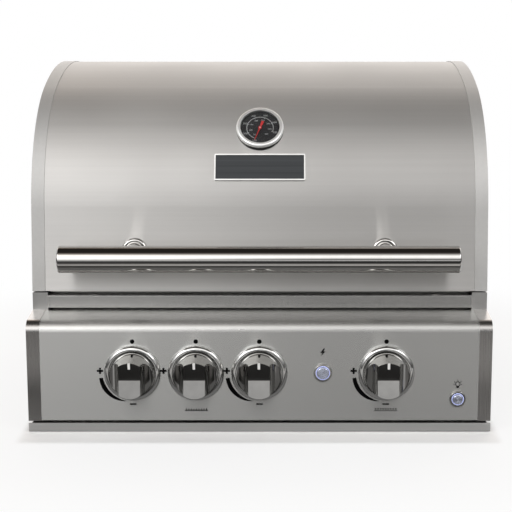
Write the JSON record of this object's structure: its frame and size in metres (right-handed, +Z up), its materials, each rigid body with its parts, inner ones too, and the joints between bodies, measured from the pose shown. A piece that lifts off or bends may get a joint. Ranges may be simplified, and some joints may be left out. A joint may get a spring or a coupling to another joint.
{
  "type": "gas grill",
  "caption": "Stainless built-in gas grill with an arched hinged hood, bar handle, thermometer, front knobs that push and turn, push buttons and a sliding drip tray.",
  "frame": {"origin": "middle of the base, on the surface that the rails stand on", "axes": "+X to the right seen from the front, -Y out of the front, +Z up"},
  "size_m": [0.711, 0.645, 0.5524],
  "materials": {
    "brushed_steel": "brushed",
    "inner_steel": "mill finish",
    "polished_steel": "polished",
    "cast_chrome": "polished casting",
    "rubber_black": "matte",
    "dial_black": "matte print",
    "needle_red": "satin",
    "clear_glass": "clear",
    "plate_grey": "satin",
    "brass_valve": "machined",
    "plastic_black": "matte",
    "ceramic_tile": "matte",
    "ceramic_white": "glazed",
    "lamp_white": "frosted"
  },
  "bodies": {
    "grill_body": {"hood_pivot_brackets": "inner_steel", "hood_pivot_pins": "polished_steel", "control_panel": "brushed_steel", "panel_end_cap_left": "polished_steel", "panel_end_cap_right": "polished_steel", "knob_bezels": "cast_chrome", "gas_valves": "brass_valve", "gas_manifold": "inner_steel", "gas_inlet_pipe": "inner_steel", "button_bezels": "cast_chrome", "spark_module": "plastic_black", "light_switch": "plastic_black", "firebox_side_left": "brushed_steel", "firebox_side_right": "brushed_steel", "firebox_rear_panel": "inner_steel", "front_bar": "brushed_steel", "firebox_liner": "inner_steel", "firebox_back_wall": "inner_steel", "base_rails": "inner_steel", "support_rails": "inner_steel", "main_burners": "inner_steel", "sear_burner_housing": "inner_steel", "sear_burner_tile": "ceramic_tile", "rear_burner_housing": "inner_steel", "rear_burner_tile": "ceramic_tile", "rear_burner_gas_tube": "inner_steel", "flame_tamers": "inner_steel", "spark_electrodes": "ceramic_white", "cooking_grates": "inner_steel", "warming_rack": "inner_steel", "interior_lamps": "lamp_white"},
    "hood": {"hood_skin": "brushed_steel", "hood_liner": "inner_steel", "hood_side_left": "brushed_steel", "hood_side_right": "brushed_steel", "hood_bumpers": "rubber_black", "handle_tube": "polished_steel", "handle_end_caps": "polished_steel", "handle_posts": "polished_steel", "thermometer_case": "polished_steel", "thermometer_dial": "dial_black", "thermometer_lens": "clear_glass", "nameplate_frame": "polished_steel", "nameplate_face": "plate_grey"},
    "thermometer_needle": {"thermometer_needle": "needle_red"},
    "drip_tray": {"drip_tray": "inner_steel"},
    "ignition_button": {"ignition_button": "cast_chrome"},
    "light_button": {"light_button": "cast_chrome"},
    "valve_plunger_1": {"valve_plunger_1": "brass_valve"},
    "knob_1": {"knob_1": "cast_chrome", "valve_stem_1": "brass_valve"},
    "valve_plunger_2": {"valve_plunger_2": "brass_valve"},
    "knob_2": {"knob_2": "cast_chrome", "valve_stem_2": "brass_valve"},
    "valve_plunger_3": {"valve_plunger_3": "brass_valve"},
    "knob_3": {"knob_3": "cast_chrome", "valve_stem_3": "brass_valve"},
    "valve_plunger_4": {"valve_plunger_4": "brass_valve"},
    "knob_4": {"knob_4": "cast_chrome", "valve_stem_4": "brass_valve"}
  },
  "joints": [
    {"name": "hood_hinge", "type": "hinge", "parent": "grill_body", "child": "hood", "pos_m": [0, 0.2425, 0.288], "axis": [-1, 0, 0], "range_deg": [0, 85]},
    {"name": "needle_turn", "type": "hinge", "parent": "hood", "child": "thermometer_needle", "pos_m": [0, -0.15813, 0.45572], "axis": [0, 0.766, -0.6428], "range_deg": [0, 300], "stiffness_Nm_per_rad": 0.002},
    {"name": "drip_tray_slide", "type": "slide", "parent": "grill_body", "child": "drip_tray", "axis": [0, -1, 0], "range_m": [0, 0.4]},
    {"name": "ignition_button_push", "type": "slide", "parent": "grill_body", "child": "ignition_button", "axis": [0, 1, 0], "range_m": [0, 0.002], "stiffness_N_per_m": 400, "springref_m": -0.003},
    {"name": "light_button_push", "type": "slide", "parent": "grill_body", "child": "light_button", "axis": [0, 1, 0], "range_m": [0, 0.002], "stiffness_N_per_m": 400, "springref_m": -0.003},
    {"name": "knob_1_push", "type": "slide", "parent": "grill_body", "child": "valve_plunger_1", "axis": [0, 1, 0], "range_m": [0, 0.003], "stiffness_N_per_m": 800, "springref_m": -0.004},
    {"name": "knob_1_turn", "type": "hinge", "parent": "valve_plunger_1", "child": "knob_1", "pos_m": [-0.194, -0.2765, 0.094], "axis": [0, -1, 0], "range_deg": [0, 180]},
    {"name": "knob_2_push", "type": "slide", "parent": "grill_body", "child": "valve_plunger_2", "axis": [0, 1, 0], "range_m": [0, 0.003], "stiffness_N_per_m": 800, "springref_m": -0.004},
    {"name": "knob_2_turn", "type": "hinge", "parent": "valve_plunger_2", "child": "knob_2", "pos_m": [-0.097, -0.2765, 0.094], "axis": [0, -1, 0], "range_deg": [0, 90]},
    {"name": "knob_3_push", "type": "slide", "parent": "grill_body", "child": "valve_plunger_3", "axis": [0, 1, 0], "range_m": [0, 0.003], "stiffness_N_per_m": 800, "springref_m": -0.004},
    {"name": "knob_3_turn", "type": "hinge", "parent": "valve_plunger_3", "child": "knob_3", "pos_m": [0, -0.2765, 0.094], "axis": [0, -1, 0], "range_deg": [0, 180]},
    {"name": "knob_4_push", "type": "slide", "parent": "grill_body", "child": "valve_plunger_4", "axis": [0, 1, 0], "range_m": [0, 0.003], "stiffness_N_per_m": 800, "springref_m": -0.004},
    {"name": "knob_4_turn", "type": "hinge", "parent": "valve_plunger_4", "child": "knob_4", "pos_m": [0.194, -0.2765, 0.094], "axis": [0, -1, 0], "range_deg": [0, 180]}
  ]
}
